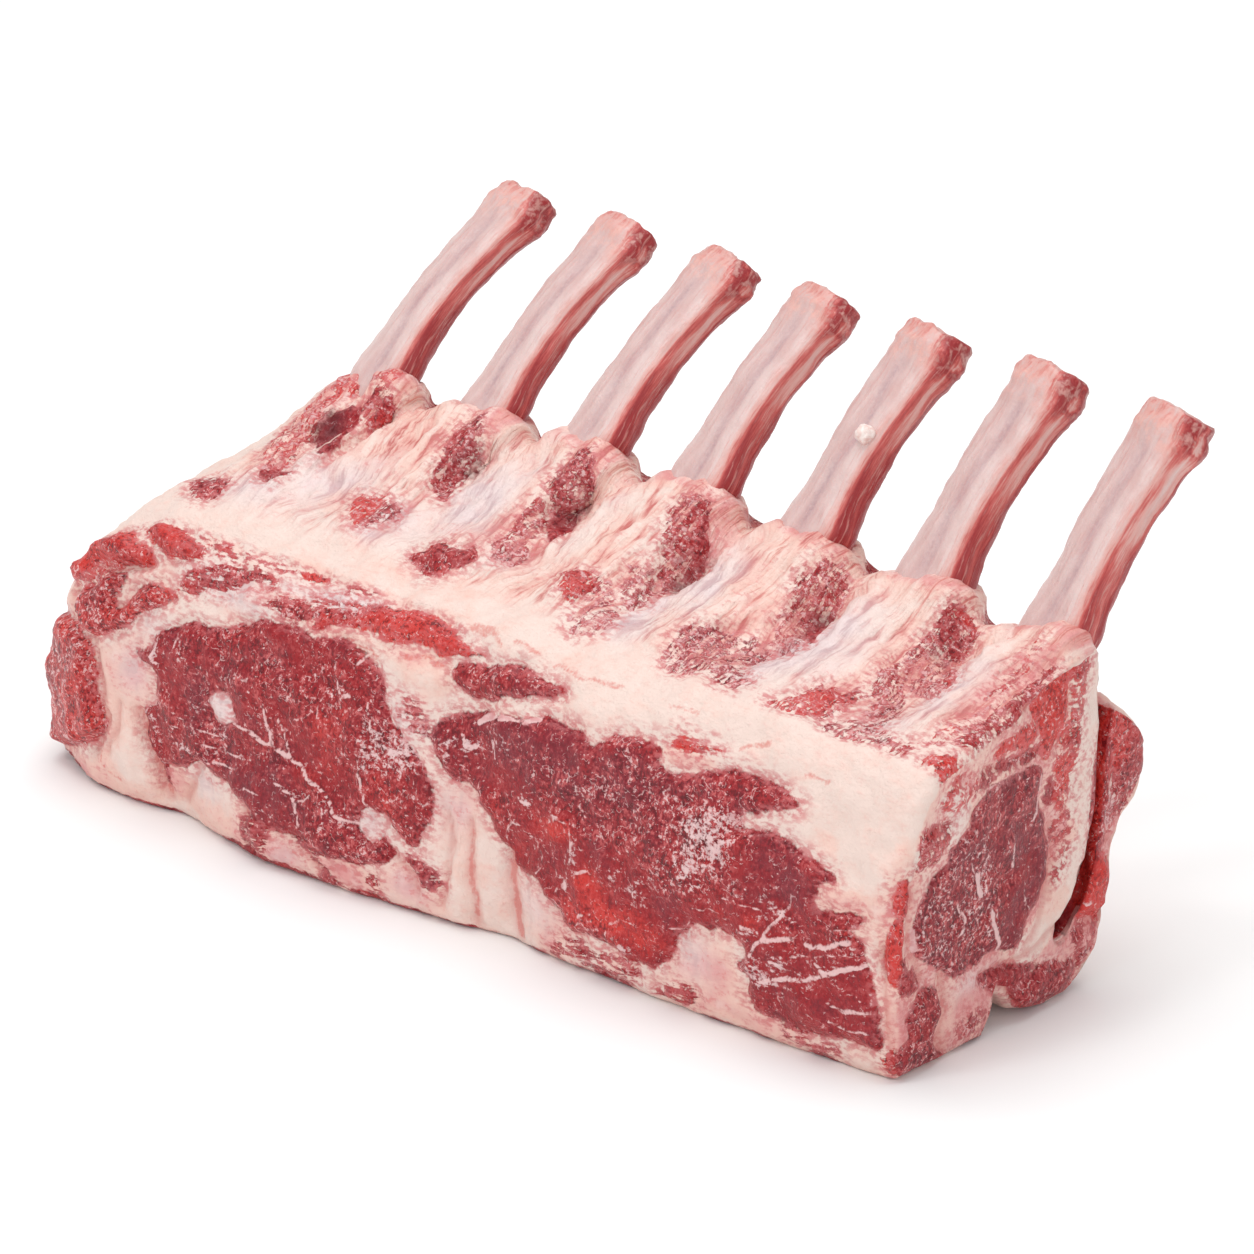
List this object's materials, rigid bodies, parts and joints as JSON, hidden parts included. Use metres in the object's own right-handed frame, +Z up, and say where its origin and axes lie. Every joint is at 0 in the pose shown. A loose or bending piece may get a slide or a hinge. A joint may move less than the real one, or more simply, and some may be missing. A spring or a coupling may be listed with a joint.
{
  "type": "raw frenched rack of lamb",
  "caption": "Raw frenched rack of lamb: a long block of marbled meat with a fat band, a cut end with an open flap, and a row of bare curved ribs leaning to the rear.",
  "frame": {"origin": "middle of the object's box, on the surface that it rests on", "axes": "+X along the rack towards the clean cut end, +Y towards the rear where the bare ribs lean, +Z up"},
  "size_m": [0.2133, 0.0866, 0.1021],
  "materials": {
    "meat": "moist, satin, red lean with cream fat",
    "bone": "moist, satin, pale pink with red sides"
  },
  "bodies": {
    "root": {"meat": "meat", "rib_1": "bone", "rib_2": "bone", "rib_3": "bone", "rib_4": "bone", "rib_5": "bone", "rib_6": "bone", "rib_7": "bone"}
  },
  "joints": []
}
